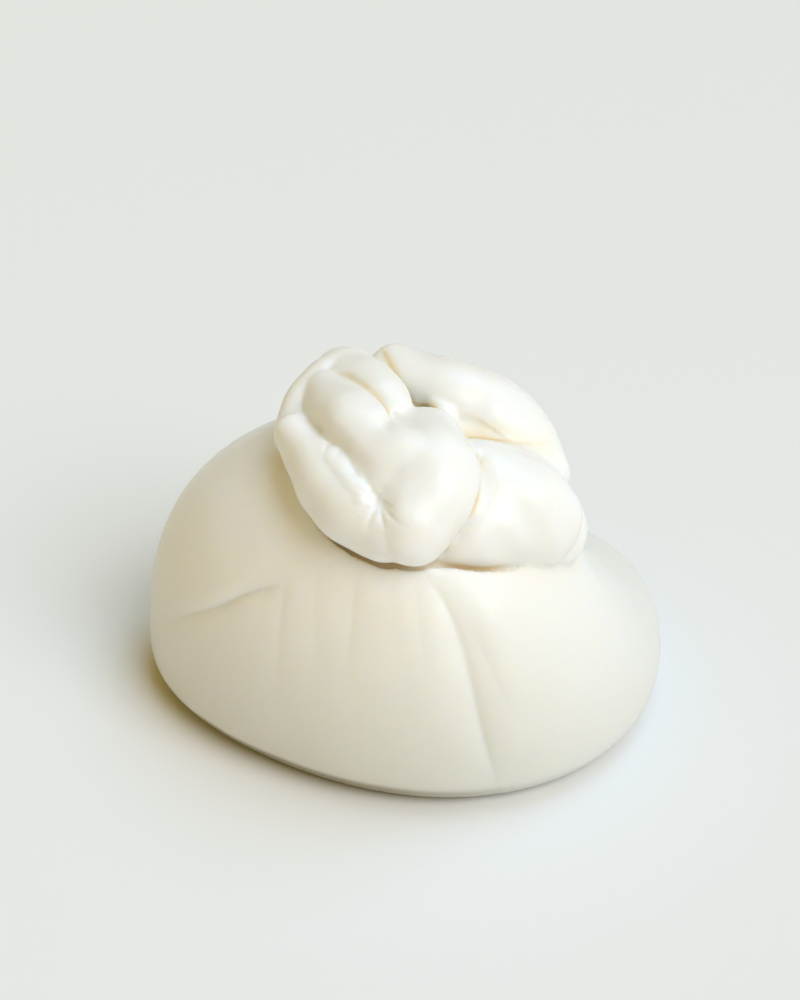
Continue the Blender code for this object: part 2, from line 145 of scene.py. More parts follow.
# %% Stations of the folds
# A station is (x, y, z, half width, half thickness).
FOLDS = {
    "heart": ((-6.0, 0.0, 47.0, 8.0, 7.0), (3.0, -6.0, 44.0, 15.0, 8.0),
              (15.0, -5.0, 42.0, 12.0, 9.0)),
    "bulb": ((3.9, -11.7, 52.8, 6.8, 7.0), (4.6, -19.7, 52.3, 8.0, 7.5),
             (1.8, -24.8, 48.0, 7.4, 7.2)),
    "bridge": ((-4.6, -16.5, 54.2, 6.4, 6.2), (0.2, -18.6, 53.9, 6.8, 6.5),
               (4.6, -19.7, 52.6, 7.4, 7.0)),
    "brow": ((-11.6, -2.0, 56.8, 4.6, 4.8), (-9.4, -7.5, 56.6, 5.8, 5.4),
             (-6.2, -13.2, 56.3, 6.2, 5.8), (-1.8, -20.2, 52.4, 5.6, 5.6)),
    "cheek": ((-10.5, -1.5, 55.5, 5.0, 4.5), (-11.0, -7.0, 51.5, 5.0, 4.5)),
    "flap": ((-16.8, -8.6, 53.8, 3.4, 4.2), (-13.0, -15.2, 51.8, 4.8, 5.3),
             (-8.3, -21.6, 49.0, 6.2, 6.0), (-1.9, -25.0, 47.0, 6.0, 6.2)),
    "lip": ((-17.5, -8.7, 53.2, 3.0, 3.0), (-13.6, -12.8, 53.8, 3.4, 3.4),
            (-10.6, -17.0, 54.0, 3.4, 3.4), (-8.0, -20.8, 53.2, 3.4, 3.4),
            (-5.2, -24.6, 51.8, 3.2, 3.2)),
    "left band": ((-8.5, 4.3, 58.0, 4.5, 4.0), (-12.0, 1.2, 57.2, 4.0, 4.5),
                  (-14.8, -2.2, 55.2, 3.4, 4.5), (-16.8, -6.0, 53.0, 3.4, 4.0)),
    "tongue": ((-9.4, 3.6, 57.4, 5.8, 4.6), (-6.8, -1.4, 58.2, 6.0, 4.4),
               (-3.8, -5.6, 58.7, 5.0, 3.8), (-0.6, -8.8, 58.4, 2.8, 3.0)),
    "back band": ((-1.0, 8.5, 55.0, 4.5, 5.0), (6.6, 4.5, 54.6, 7.0, 5.5),
                  (14.6, 2.0, 51.9, 7.0, 6.0), (20.3, -1.5, 48.6, 5.8, 5.5),
                  (22.8, -6.0, 44.5, 5.2, 5.5)),
    "face": ((7.5, -1.0, 49.5, 5.0, 4.5), (13.5, -1.8, 49.6, 4.8, 4.2),
             (19.0, -3.8, 47.6, 4.6, 4.2)),
    "pinch": ((5.8, -1.6, 55.2, 1.8, 2.0), (7.2, -3.4, 54.0, 2.2, 2.2)),
    "right lobe": ((13.0, -14.0, 45.5, 9.0, 8.0), (18.3, -13.8, 43.5, 9.3, 8.8),
                   (21.5, -13.6, 40.6, 8.2, 8.2)),
    "root": ((13.0, -14.0, 38.0, 6.0, 6.0), (19.0, -14.5, 38.5, 7.0, 6.5),
             (24.5, -11.5, 37.0, 6.5, 6.0)),
    "chin": ((7.5, -19.4, 43.0, 6.8, 6.8), (12.6, -18.8, 42.6, 7.1, 7.0),
             (18.0, -16.0, 41.2, 7.2, 7.2)),
    "back left": ((-12.0, 1.0, 48.0, 6.5, 6.0), (-6.0, 8.0, 47.5, 8.0, 7.0),
                  (2.5, 10.5, 46.5, 7.5, 7.0)),
    "back right": ((3.0, 11.5, 45.5, 8.0, 7.0), (12.0, 8.5, 43.0, 8.5, 7.5),
                   (18.5, 2.5, 39.5, 7.5, 7.0)),
    "neck": ((-10.0, 3.0, 40.0, 10.0, 8.0), (2.0, 9.0, 40.0, 12.0, 8.0),
             (14.0, 5.0, 37.0, 11.0, 8.0)),
}

# Point deep under the knot, which the flat sides of its folds face away from.
KNOT_HEART = Vector((4.0, -5.0, 30.0))


def along(stations, share):
    """Catmull-Rom curve through the stations, at a share of the way from the first to the last."""
    spans = len(stations) - 1
    span = min(int(share * spans), spans - 1)
    t = share * spans - span
    before, start, end, after = [
        np.array(stations[min(max(span + step, 0), spans)]) for step in (-1, 0, 1, 2)
    ]
    return 0.5 * (
        2 * start
        + (end - before) * t
        + (2 * before - 5 * start + 4 * end - after) * t ** 2
        + (3 * start - before - 3 * end + after) * t ** 3
    )


print("folds:", len(FOLDS), "with", sum(len(stations) for stations in FOLDS.values()), "stations")

# %% [markdown]
# Where a fold presses on the pouch, the skin beside it is drawn down, and that is the narrow dark
# line round the knot. A ring-shaped trench would miss it, because the knot's outline is not a ring.
# So each point of the pouch measures its room to the nearest fold and sinks if there is next to
# none. At the back the pouch runs straight up into the neck, and there the crevice fades out.

# %% Crevice round the knot
FOLD_STEPS = 26
CREVICE_DEPTH = 3.0
CREVICE_WIDTH = 0.8

# Level direction towards the back. Past this cosine of the angle to it, nothing sinks.
BACK_WAY = (0.64, 0.77)
BACK_FADE = 0.35


def eased(share):
    """Share kept within 0 and 1, with a soft start and a soft end."""
    share = np.clip(share, 0.0, 1.0)
    return share * share * (3.0 - 2.0 * share)


def drawn_down(points):
    """The pouch's points, lowered beside and under the folds, except at the back."""
    room = np.full(len(points), CREVICE_WIDTH)
    for stations in FOLDS.values():
        for step in range(FOLD_STEPS + 1):
            *place, width, thickness = along(stations, step / FOLD_STEPS)
            apart = np.linalg.norm(points - place, axis=1) - (width + thickness) / 2
            room = np.minimum(room, apart)
    around = points[:, :2] - KNOT_HEART[:2]
    backward = around @ np.array(BACK_WAY) / np.maximum(np.linalg.norm(around, axis=1), 1.0)
    depth = CREVICE_DEPTH * eased(1.0 - room / CREVICE_WIDTH) * eased(BACK_FADE - backward)
    return points - np.outer(depth, (0.0, 0.0, 1.0))


print("crevice, mm:", CREVICE_DEPTH, "deep within", CREVICE_WIDTH, "of a fold")

# %% [markdown]
# The pouch itself is a stack of closed rings, one for each level. Steps of about a millimetre are
# fine enough, as fusing and smoothing will even them out.

# %% Rings of the pouch
AZIMUTH_STEPS = 280
HEIGHT_STEPS = 120


def ring_skin(name, rings, first_pole, last_pole):
    """Mesh of a closed skin through rings of points, with a pole at each end."""
    count = len(rings[0])
    corners = [tuple(point * MM) for ring in rings for point in ring]
    corners += [tuple(np.array(first_pole) * MM), tuple(np.array(last_pole) * MM)]
    first, last, top = len(corners) - 2, len(corners) - 1, (len(rings) - 1) * count
    faces = []
    for index in range(count):
        following = (index + 1) % count
        faces.append((first, following, index))
        faces.append((last, top + index, top + following))
        for base in range(0, top, count):
            above = base + count
            faces.append((base + index, base + following, above + following, above + index))
    mesh = bpy.data.meshes.new(name)
    mesh.from_pydata(corners, [], faces)
    return mesh


levels = [step / HEIGHT_STEPS for step in range(-HEIGHT_STEPS, HEIGHT_STEPS + 1)]
azimuths = [2 * math.pi * step / AZIMUTH_STEPS for step in range(AZIMUTH_STEPS)]
grid = np.array([pouch_point(azimuth, level) for level in levels for azimuth in azimuths])
rings = drawn_down(grid).reshape(len(levels), AZIMUTH_STEPS, 3)
foot_middle = (POUCH_SHIFT, POUCH_BACK, rings[0, 0, 2])
pouch_mesh = ring_skin("pouch", rings[:-1], foot_middle, rings[-1, 0])
print("pouch:", len(pouch_mesh.polygons), "faces")

# %% [markdown]
# A fold can now be built as what it is, a row of soft lumps so close together that they read as
# one. The skeleton mesh holds nothing but points, and each point carries a turn and a size. Every
# lump is turned so that its flat way faces outward from the heart of the knot.

# %% Skeleton of the folds
LOOK_AHEAD = 0.01


def fold_lump(stations, share):
    """Place, turn and size of one lump of a fold."""
    x, y, z, width, thickness = along(stations, share)
    ahead = along(stations, min(share + LOOK_AHEAD, 1.0))
    behind = along(stations, max(share - LOOK_AHEAD, 0.0))
    tangent = Vector((ahead - behind)[:3]).normalized()
    sideways = tangent.cross(Vector((x, y, z)) - KNOT_HEART).normalized()
    outward = sideways.cross(tangent)
    turn = Matrix((sideways, tangent, outward)).transposed().to_euler()
    return (x * MM, y * MM, z * MM), tuple(turn), (width * MM, width * MM, thickness * MM)


def point_attribute(mesh, name, kind, values):
    """Store one value or vector for each point of a mesh."""
    layer = mesh.attributes.new(name, kind, "POINT")
    field = "value" if kind == "FLOAT" else "vector"
    layer.data.foreach_set(field, np.asarray(values, np.float32).ravel())


lumps = [
    fold_lump(stations, step / FOLD_STEPS)
    for stations in FOLDS.values()
    for step in range(FOLD_STEPS + 1)
]
skeleton_mesh = bpy.data.meshes.new("fold skeleton")
skeleton_mesh.from_pydata([place for place, _, _ in lumps], [], [])
point_attribute(skeleton_mesh, "turn", "FLOAT_VECTOR", [turn for _, turn, _ in lumps])
point_attribute(skeleton_mesh, "size", "FLOAT_VECTOR", [size for _, _, size in lumps])
skeleton = bpy.data.objects.new("fold skeleton", skeleton_mesh)
bpy.context.scene.collection.objects.link(skeleton)
print("folds:", len(FOLDS), "with", len(lumps), "lumps")

# %% [markdown]
# Trees of nodes come next, one for the folds and later one for the skin's material. A single
# helper adds any node with its settings and its links, so that a tree reads from top to bottom.

# %% Node helper
def node(tree, kind, settings=None, links=None, **properties):
    """Add a node with properties; settings fill its sockets, and links join them to others."""
    made = tree.nodes.new(kind)
    for key, value in properties.items():
        setattr(made, key, value)
    for key, value in (settings or {}).items():
        made.inputs[key].default_value = value
    for key, source in (links or {}).items():
        tree.links.new(source, made.inputs[key])
    return made


# %% [markdown]
# Geometry Nodes put a ball on each point. The tree reads the two attributes, scales a unit ball to
# the lump's three half sizes and turns it. It ends in Realize Instances, so that the result is real
# faces, and Set Material.

# %% Tree that builds the folds
def lump_tree():
    """Geometry Nodes tree that sets a turned and sized ball on each point."""
    tree = bpy.data.node_groups.new("row of lumps", "GeometryNodeTree")
    panel = tree.interface
    panel.new_socket("Geometry", in_out="INPUT", socket_type="NodeSocketGeometry")
    panel.new_socket("Plumpness", in_out="INPUT", socket_type="NodeSocketFloat")
    panel.new_socket("Ball Subdivisions", in_out="INPUT", socket_type="NodeSocketInt")
    panel.new_socket("Material", in_out="INPUT", socket_type="NodeSocketMaterial")
    panel.new_socket("Geometry", in_out="OUTPUT", socket_type="NodeSocketGeometry")
    start = node(tree, "NodeGroupInput").outputs
    turn = node(tree, "GeometryNodeInputNamedAttribute", {"Name": "turn"}, data_type="FLOAT_VECTOR")
    size = node(tree, "GeometryNodeInputNamedAttribute", {"Name": "size"}, data_type="FLOAT_VECTOR")
    rotation = node(tree, "FunctionNodeEulerToRotation", links={"Euler": turn.outputs["Attribute"]})
    plump = node(tree, "ShaderNodeVectorMath", operation="SCALE",
                 links={"Vector": size.outputs["Attribute"], "Scale": start["Plumpness"]})
    ball = node(tree, "GeometryNodeMeshIcoSphere", {"Radius": 1.0},
                {"Subdivisions": start["Ball Subdivisions"]})
    row = node(tree, "GeometryNodeInstanceOnPoints", links={
        "Points": start["Geometry"],
        "Instance": ball.outputs["Mesh"],
        "Rotation": rotation.outputs["Rotation"],
        "Scale": plump.outputs["Vector"],
    })
    solid = node(tree, "GeometryNodeRealizeInstances", links={"Geometry": row.outputs["Instances"]})
    coated = node(tree, "GeometryNodeSetMaterial",
                  links={"Geometry": solid.outputs["Geometry"], "Material": start["Material"]})
    node(tree, "NodeGroupOutput", links={"Geometry": coated.outputs["Geometry"]})
    return tree


# %% [markdown]
# A modifier's inputs are set by the identifiers of the tree's sockets. The evaluated result is then
# taken as a plain mesh, and the modifier has done its work.

# %% Evaluate the folds
PLUMPNESS = 1.0
BALL_SUBDIVISIONS = 4

curd = bpy.data.materials.new("stretched curd, wet with whey")
curd.use_nodes = True


def run_tree(body, tree, **inputs):
    """Run a Geometry Nodes tree on an object and keep the result as its plain mesh."""
    modifier = body.modifiers.new(tree.name, "NODES")
    modifier.node_group = tree
    sockets = [item for item in tree.interface.items_tree if item.in_out == "INPUT"]
    identifiers = {socket.name: socket.identifier for socket in sockets}
    for name, value in inputs.items():
        modifier[identifiers[name.replace("_", " ")]] = value
    bake(body)


def bake(body):
    """Turn the object's modifiers into its mesh."""
    graph = bpy.context.evaluated_depsgraph_get()
    baked = bpy.data.meshes.new_from_object(body.evaluated_get(graph))
    body.modifiers.clear()
    body.data = baked


run_tree(
    skeleton,
    lump_tree(),
    Plumpness=PLUMPNESS,
    Ball_Subdivisions=BALL_SUBDIVISIONS,
    Material=curd,
)
print("knot before fusing:", len(skeleton.data.polygons), "faces")

# %% [markdown]
# ## One skin
#
# The curd was hot when the knot was made, so the folds have fused where they touch. A boolean union
# would keep the hard line where two forms meet. A voxel remesh makes one closed skin of them all,
# and a little smoothing rounds the meeting lines as the melted curd did.

# %% Fuse the pouch and the folds
VOXEL = 0.35
SOFTEN_FACTOR = 0.5
SOFTEN_ROUNDS = 9


def fused_skin(name, *meshes):
    """Object with one closed skin round all the meshes."""
    bm = bmesh.new()
    for mesh in meshes:
        bm.from_mesh(mesh)
    merged = bpy.data.meshes.new(name)
    bm.to_mesh(merged)
    bm.free()
    body = bpy.data.objects.new(name, merged)
    bpy.context.scene.collection.objects.link(body)
    fuse = body.modifiers.new("fuse", "REMESH")
    fuse.mode = "VOXEL"
    fuse.voxel_size = VOXEL * MM
    soften = body.modifiers.new("soften", "SMOOTH")
    soften.factor = SOFTEN_FACTOR
    soften.iterations = SOFTEN_ROUNDS
    bake(body)
    return body


burrata = fused_skin("burrata_skin", pouch_mesh, skeleton.data)
bpy.data.objects.remove(skeleton, do_unlink=True)
print("skin:", len(burrata.data.polygons), "faces")

# %% [markdown]
# ## Reading and writing the skin
#
# Creases and wrinkles are too many to model one by one with the mouse. They are pressed into the
# skin by arithmetic on all its points at once. The normals are evened out first, because a press
# along the raw normals of a narrow valley would push its two walls through each other.

# %% Skin as arrays
NORMAL_ROUNDS = 10


def relaxed(values, edges, rounds):
    """Values of the points after each has taken the mean of its neighbours, several times over."""
    first, second = edges[:, 0], edges[:, 1]
    count = len(values)
    neighbours = np.bincount(first, minlength=count) + np.bincount(second, minlength=count)
    for _ in range(rounds):
        total = np.empty_like(values)
        for column in range(values.shape[1]):
            total[:, column] = np.bincount(first, values[second, column], count)
            total[:, column] += np.bincount(second, values[first, column], count)
        values = total / neighbours[:, None]
    return values


def read_skin(mesh, rounds=NORMAL_ROUNDS):
    """Points, edges and evened normals of a mesh."""
    points = np.empty(len(mesh.vertices) * 3)
    normals = np.empty(len(mesh.vertices) * 3)
    edges = np.empty(len(mesh.edges) * 2, dtype=np.int32)
    mesh.vertices.foreach_get("co", points)
    mesh.vertices.foreach_get("normal", normals)
    mesh.edges.foreach_get("vertices", edges)
    edges = edges.reshape(-1, 2)
    normals = relaxed(normals.reshape(-1, 3), edges, rounds)
    normals /= np.linalg.norm(normals, axis=1, keepdims=True)
    return points.reshape(-1, 3), edges, normals


def write_skin(mesh, points):
    """Move a mesh's points."""
    mesh.vertices.foreach_set("co", points.ravel())
    mesh.update()


print("points of the skin:", len(burrata.data.vertices))

# %% [markdown]
# ## Hollows filled, creases pressed
#
# Where two folds meet, the fused skin has a wide valley, but on the real knot the soft curd has
# filled it up and only a fine line is left. The skin is compared with a much smoothed copy of
# itself, and wherever it lies below that copy it is lifted. Only the knot is treated so.

# %% Fill the hollows of the knot
FILL_ROUNDS = 160
FILL_GAIN = 0.6
HOLLOW_ROUNDS = 4
KNOT_MARGIN = 3.0


def on_knot(points):
    """1 on the knot, 0 on the pouch and in the crevice between them."""
    return eased(above_pouch(points) / KNOT_MARGIN)[:, None]


def below(points, edges, normals, rounds):
    """Negative length by which each point above the belly lies below a smoothed copy."""
    offset = points - relaxed(points, edges, rounds)
    depth = np.minimum(np.sum(offset * normals, axis=1), 0.0)
    depth[points[:, 2] < BELLY_HEIGHT * MM] = 0.0
    return relaxed(depth[:, None], edges, HOLLOW_ROUNDS)


points, edges, normals = read_skin(burrata.data)
lift = -below(points, edges, normals, FILL_ROUNDS) * on_knot(points) * FILL_GAIN
write_skin(burrata.data, points + normals * lift)
print("deepest hollow filled by, mm:", round(float(lift.max() / MM), 2))

# %% [markdown]
# The skin has a few long creases: one down the front, where two sides of the pouch meet under the
# knot, a softer one beside it, one on the left, and the seams between the folds. Each is a path
# with a depth along it, and its two flanks can be of different width, because one side of a crease
# usually rolls over the other. A negative depth raises a ridge.

# %% Stations of the creases
# Each line has a reach to its left, a reach to its right and stations.
# On the pouch a station is (direction in degrees, level up the side, depth).
POUCH_CREASES = {
    "front crease": (6.0, 8.0, ((274.5, 0.48, 0.4), (277.5, 0.42, 0.8), (280.0, 0.33, 1.0),
                                (282.5, 0.16, 1.0), (284.0, 0.07, 0.8), (285.5, 0.0, 0.4))),
    "second crease": (5.0, 7.0, ((279.0, 0.42, 0.0), (284.0, 0.33, 0.4), (287.0, 0.23, 0.3),
                                 (291.0, 0.12, 0.0))),
    "left crease": (3.0, 4.5, ((195.0, 0.14, 0.0), (207.5, 0.24, 0.5), (215.5, 0.3, 0.9),
                               (223.0, 0.37, 0.9), (231.0, 0.42, 0.3))),
}

# On the knot a station is (x, y, z, depth).
KNOT_CREASES = {
    "seam": (1.8, 3.6, ((-1.5, -29.5, 50.0, 0.1), (-3.0, -27.4, 52.7, 0.6),
                        (-6.2, -24.3, 55.4, 0.9), (-9.6, -18.8, 57.5, 1.1),
                        (-11.9, -16.2, 57.6, 1.3), (-14.0, -12.8, 57.4, 0.6))),
    "left valley": (2.5, 2.5, ((-14.0, -4.5, 58.8, 0.0), (-14.7, -8.0, 57.6, 0.5),
                               (-14.2, -11.0, 57.4, 0.8), (-13.0, -13.2, 57.4, 0.7))),
    "tongue crease": (1.6, 1.4, ((-11.0, -1.5, 61.5, 0.0), (-8.1, -4.0, 61.8, 0.6),
                                 (-4.4, -8.6, 61.0, 1.2), (-2.2, -12.2, 60.0, 1.8),
                                 (-1.1, -12.8, 59.8, 1.6))),
    "heart notch": (2.0, 2.0, ((-1.1, -12.6, 59.8, 0.4), (-2.0, -15.5, 60.5, 0.5),
                               (-1.7, -19.7, 60.2, 0.0))),
    "gap": (1.5, 2.5, ((-2.0, 8.0, 58.5, 0.8), (1.3, 3.3, 56.4, 1.2), (3.9, -0.7, 54.6, 1.8),
                       (4.6, -4.0, 55.0, 2.0))),
    "band crease": (1.6, 1.6, ((8.5, -7.6, 50.6, 1.4), (13.6, -6.8, 50.4, 1.4),
                               (18.1, -6.6, 50.2, 1.2), (24.0, -5.6, 50.0, 0.3))),
    "bulb edge": (3.0, 1.2, ((12.7, -15.5, 53.6, 1.0), (13.2, -20.0, 51.5, 1.2),
                             (10.1, -25.6, 46.1, 1.7), (6.5, -25.8, 41.5, 1.4))),
    "lobe swell": (4.0, 4.0, ((12.6, -21.5, 48.6, -0.2), (14.6, -21.9, 48.0, -0.6),
                              (17.6, -22.9, 45.4, -0.9), (20.0, -22.6, 41.6, -0.9),
                              (21.2, -21.6, 38.6, -0.4))),
    "band ridge": (6.0, 3.0, ((7.0, -4.2, 56.6, -0.4), (13.3, -6.0, 54.6, -0.8),
                              (17.5, -7.3, 52.6, -0.5), (20.5, -8.4, 51.0, 0.0))),
}

print("creases:", len(POUCH_CREASES), "on the pouch,", len(KNOT_CREASES), "on the knot")

# %% [markdown]
# A crease is pressed along the evened normals of the skin, deepest on its line and rounded on both
# flanks. Left and right are as seen by someone walking along it on the outside.

# %% Press the creases
CREASE_STEPS = 60


def press(points, normals, left, right, stations):
    """Points once a crease is pressed in; a station is (x, y, z, depth)."""
    line = np.array([along(stations, step / CREASE_STEPS) for step in range(CREASE_STEPS + 1)])
    places = line[:, :3] * MM
    heading = np.gradient(places, axis=0)
    heading /= np.linalg.norm(heading, axis=1, keepdims=True)
    reach = max(left, right) * MM
    boxed = (points > places.min(0) - reach) & (points < places.max(0) + reach)
    near = np.flatnonzero(boxed.all(axis=1))
    spot = points[near]
    apart = np.linalg.norm(spot[:, None, :] - places[None, :, :], axis=2)
    nearest = apart.argmin(axis=1)
    offset = spot - places[nearest]
    beside = offset - heading[nearest] * np.sum(offset * heading[nearest], axis=1, keepdims=True)
    inside = (nearest > 0) & (nearest < CREASE_STEPS)
    distance = np.where(inside, np.linalg.norm(beside, axis=1), apart.min(axis=1))
    rightward = np.sum(np.cross(heading[nearest], normals[near]) * offset, axis=1) > 0
    share = np.clip(1.0 - distance / (np.where(rightward, right, left) * MM), 0.0, 1.0)
    pressed = points.copy()
    pressed[near] -= normals[near] * (line[nearest, 3] * MM * share ** 2)[:, None]
    return pressed


def on_pouch(stations):
    """Stations (x, y, z, depth) of a crease that is given by direction, level and depth."""
    return [
        (*pouch_point(math.radians(direction), level), depth)
        for direction, level, depth in stations
    ]


def press_all(body, creases):
    """Press creases into the skin, one after the other."""
    for left, right, stations in creases:
        points, _, normals = read_skin(body.data)
        write_skin(body.data, press(points, normals, left, right, stations))


pouch_creases = [
    (left, right, on_pouch(stations)) for left, right, stations in POUCH_CREASES.values()
]
press_all(burrata, pouch_creases)
press_all(burrata, KNOT_CREASES.values())
print("pressed:", len(pouch_creases) + len(KNOT_CREASES))

# %% [markdown]
# Curd sags against its neighbour, so the line between two folds sinks a little further. The same
# comparison with a smoothed copy finds it, this time with few rounds, so that only narrow valleys
# count.

# %% Deepen the valleys
VALLEY_ROUNDS = 18

points, edges, normals = read_skin(burrata.data)
sink = below(points, edges, normals, VALLEY_ROUNDS)
write_skin(burrata.data, points + normals * sink)
print("deepest extra sink, mm:", round(float(-sink.min() / MM), 2))

# %% [markdown]
# ## Lumps of the curd
#
# The curd was stretched and torn by hand, so the folds are a little knobbly: waves a few
# millimetres long and a few tenths of a millimetre high. A smooth noise moves each point along its
# normal, less on the pouch, whose skin is pulled tight, and not at all where it meets the table.

# %% Lumps
LUMP_LENGTH = 7.0
LUMP_HEIGHT = 0.55
POUCH_LUMPS = 0.25


def add_lumps(body):
    """Knobble the skin with smooth noise."""
    points, _, normals = read_skin(body.data)
    heights = np.array([noise.noise(Vector(point) / (LUMP_LENGTH * MM)) for point in points])
    share = POUCH_LUMPS + (1.0 - POUCH_LUMPS) * on_knot(points)[:, 0]
    above_table = eased(points[:, 2] / (BELLY_HEIGHT * MM))
    lift = (heights * share * above_table * LUMP_HEIGHT * MM)[:, None]
    write_skin(body.data, points + normals * lift)


add_lumps(burrata)
print("lumps, mm:", LUMP_LENGTH, "long,", LUMP_HEIGHT, "high at most")

# %% [markdown]
# Not every fold meets the next one in a sharp line. Where two lobes have run together, or a lip
# lies softly on its neighbour, the skin is evened out along a line, before it wrinkles.

# %% Soften where folds run together
SOFT_ROUNDS = 40

# Reach in millimetres, and share of the way to the evened skin.
SOFT_LINES = {"lobe swell": (6.0, 1.0), "seam": (3.5, 0.8)}


def soften(body, stations, reach, strength):
    """Even out the skin within a reach of a line."""
    points, edges, _ = read_skin(body.data)
    apart = np.full(len(points), np.inf)
    for step in range(CREASE_STEPS + 1):
        place = along(stations, step / CREASE_STEPS)[:3] * MM
        apart = np.minimum(apart, np.linalg.norm(points - place, axis=1))
    share = strength * eased(1.0 - apart / (reach * MM))[:, None]
    write_skin(body.data, points + (relaxed(points, edges, SOFT_ROUNDS) - points) * share)


for name, (reach, strength) in SOFT_LINES.items():
    soften(burrata, KNOT_CREASES[name][2], reach, strength)
print("softened lines:", len(SOFT_LINES))

# %% [markdown]
# ## Pleats and wrinkles
#
# Where the pouch was gathered, soft pleats run down from the neck. They are shallow, uneven and
# further apart than they are deep, so a loop lays them out with a fixed seed: each has its own
# direction, drift, length and depth.

# %% Pleats below the neck
PLEATS = 7
PLEAT_STATIONS = 6

# Directions in degrees: the first pleat, the gap between two, and the most that one is off.
PLEAT_START = 229.0
PLEAT_GAP = 6.5
PLEAT_STRAY = 2.5

# Level at the top, and the least and most of a pleat's drift, lowest level, depth and reach.
PLEAT_TOP = 0.49
PLEAT_DRIFT = (0.0, 7.0)
PLEAT_BOTTOM = (0.16, 0.38)
PLEAT_DEPTH = (0.08, 0.24)
PLEAT_REACH = (2.0, 4.5)

# The depth follows half a wave, from this share of it at the top to its end at the bottom.
PLEAT_HEAD = 0.15

chance = random.Random(7)


def pleat(index):
    """Left reach, right reach and stations of one pleat."""
    direction = PLEAT_START + PLEAT_GAP * index + chance.uniform(-PLEAT_STRAY, PLEAT_STRAY)
    drift = chance.uniform(*PLEAT_DRIFT)
    bottom = chance.uniform(*PLEAT_BOTTOM)
    deepest = chance.uniform(*PLEAT_DEPTH)
    stations = []
    for step in range(PLEAT_STATIONS):
        share = step / (PLEAT_STATIONS - 1)
        level = PLEAT_TOP + (bottom - PLEAT_TOP) * share
        depth = deepest * math.sin(math.pi * (PLEAT_HEAD + (1.0 - PLEAT_HEAD) * share))
        stations.append((direction + drift * share, level, depth))
    return chance.uniform(*PLEAT_REACH), chance.uniform(*PLEAT_REACH), on_pouch(stations)


press_all(burrata, [pleat(index) for index in range(PLEATS)])
print("pleats:", PLEATS)

# %% [markdown]
# The last fold was tucked into the seam under the brow, and the skin puckers there like a drawn
# purse. The wrinkles run over a strongly curved surface, so their paths are walked: each step goes
# a little way on in the heading and drops back to the nearest point of the skin.

# %% Walk on the skin
WALK_STEP = 0.5


def skin_tree():
    """Search tree over the faces of the skin as it now is."""
    return BVHTree.FromObject(burrata, bpy.context.evaluated_depsgraph_get())


def walk(tree, start, heading, length, curl):
    """Places in millimetres along the skin, from start; curl turns the way, in degrees a step."""
    place, normal, _, _ = tree.find_nearest(Vector(start) * MM)
    heading = Vector(heading)
    places = [place / MM]
    for _ in range(round(length / WALK_STEP)):
        heading = (heading - normal * heading.dot(normal)).normalized()
        heading.rotate(Quaternion(normal, math.radians(curl)))
        place, normal, _, _ = tree.find_nearest(place + heading * WALK_STEP * MM)
        places.append(place / MM)
    return places


def wrinkle(places, reach, depth):
    """Crease along walked places that starts at its full depth and runs out."""
    last = len(places) - 1
    stations = [
        (*place, depth * (1.0 - (step / last) ** 2)) for step, place in enumerate(places)
    ]
    return reach, reach, stations


# %% [markdown]
# From the pucker the wrinkles fan out downwards and to both sides. A loop shares the fan out among
# them, and chance makes each one a little longer, wider, deeper or more bent than the next.

# %% Pucker and its wrinkles
PUCKER = (-3.0, -26.9, 52.9)
PUCKER_WRINKLES = 8
PUCKER_RADIUS = 0.7

# Turns from straight down, in degrees: the first wrinkle, the last one and the most one is off.
PUCKER_FIRST = -115.0
PUCKER_LAST = 75.0
PUCKER_STRAY = 7

# Least and most of a wrinkle's length, reach and depth, and the most that its way turns a step.
PUCKER_LENGTH = (3.0, 6.0)
PUCKER_REACH = (0.8, 1.2)
PUCKER_DEPTH = (0.35, 0.6)
WRINKLE_CURL = 4

tree = skin_tree()
spot, facing, _, _ = tree.find_nearest(Vector(PUCKER) * MM)
down = (Vector((0, 0, -1)) + facing * facing.z).normalized()
creases = []
for index in range(PUCKER_WRINKLES):
    share = index / (PUCKER_WRINKLES - 1)
    angle = PUCKER_FIRST + (PUCKER_LAST - PUCKER_FIRST) * share
    angle += chance.uniform(-PUCKER_STRAY, PUCKER_STRAY)
    heading = down.copy()
    heading.rotate(Quaternion(facing, math.radians(angle)))
    start = (spot + heading * PUCKER_RADIUS * MM) / MM
    length = chance.uniform(*PUCKER_LENGTH)
    path = walk(tree, start, heading, length, chance.uniform(-WRINKLE_CURL, WRINKLE_CURL))
    creases.append(wrinkle(path, chance.uniform(*PUCKER_REACH), chance.uniform(*PUCKER_DEPTH)))
press_all(burrata, creases)
print("pucker wrinkles:", len(creases))

# %% [markdown]
# Shorter and fainter wrinkles cross both lips of the seam above the pucker.

# %% Wrinkles along the seam
SEAM_WRINKLES = 4

# Share of the seam where the first wrinkle crosses, and the share that they all take up.
SEAM_FIRST = 0.30
SEAM_SPAN = 0.45
SEAM_LOOK_AHEAD = 0.02

# Least and most of a wrinkle's lean up the seam (below 0 is down it), length, reach and depth.
SEAM_LEAN = (-0.7, 0.1)
SEAM_LENGTH = (2.0, 3.8)
SEAM_REACH = (0.8, 1.1)
SEAM_DEPTH = (0.08, 0.2)

